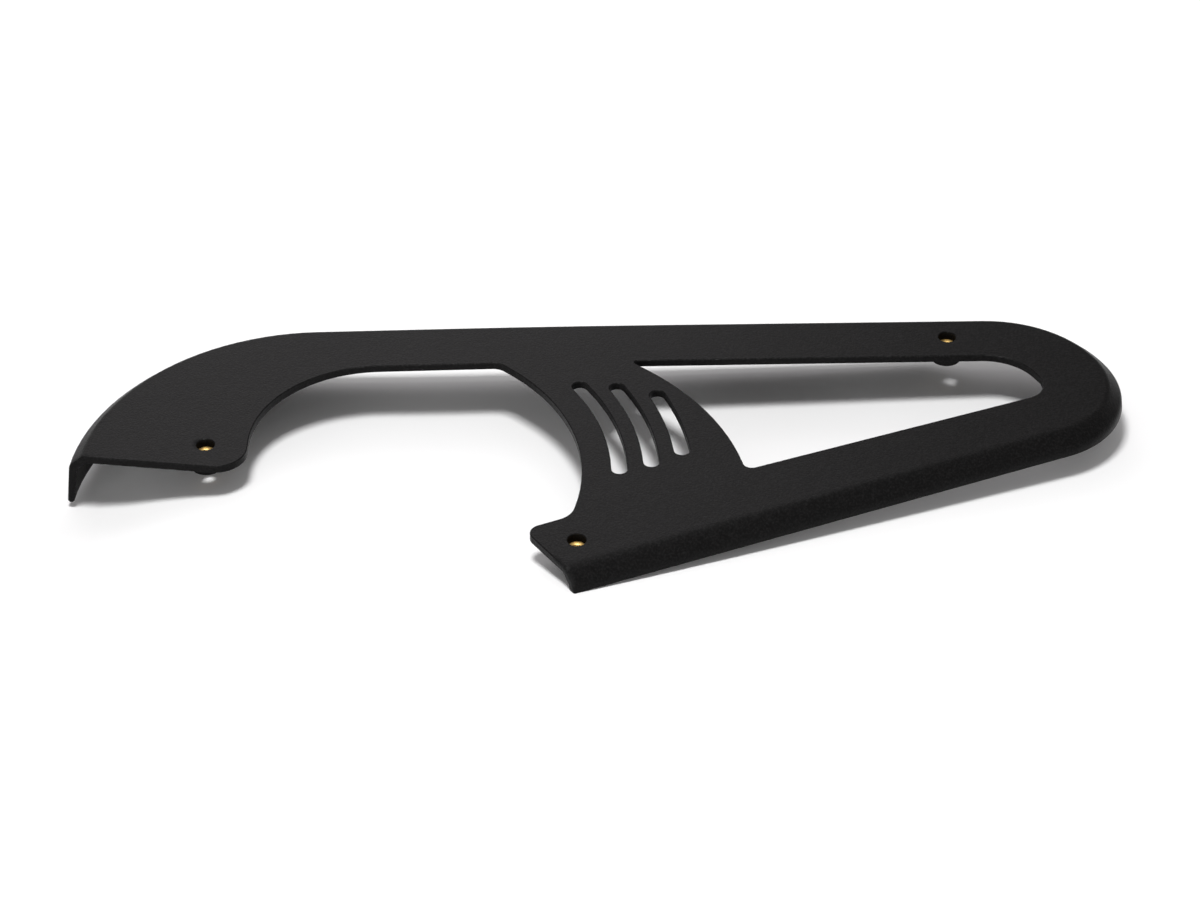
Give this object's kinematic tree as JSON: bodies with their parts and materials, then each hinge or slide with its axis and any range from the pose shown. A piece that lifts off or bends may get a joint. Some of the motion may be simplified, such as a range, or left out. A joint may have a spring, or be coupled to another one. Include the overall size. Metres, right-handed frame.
{
  "type": "motorcycle chain guard",
  "caption": "Flat moulded cover for a motorcycle's chain run, with a turned-down rim, a deep scallop round the chainring and a long window.",
  "frame": {"origin": "middle of the foot of the guard's box, with the plate level and its rim downwards", "axes": "+X towards the rear of the guard, +Y towards the long edge with the deep rim, +Z out of the top face"},
  "size_m": [0.5002, 0.207, 0.0275],
  "materials": {
    "moulding": "fine even moulded grain, black",
    "insert": "turned, threaded inside"
  },
  "bodies": {
    "root": {"guard_moulding": "moulding", "brass_insert_front": "insert", "brass_insert_lower": "insert", "brass_insert_rear": "insert"}
  },
  "joints": []
}
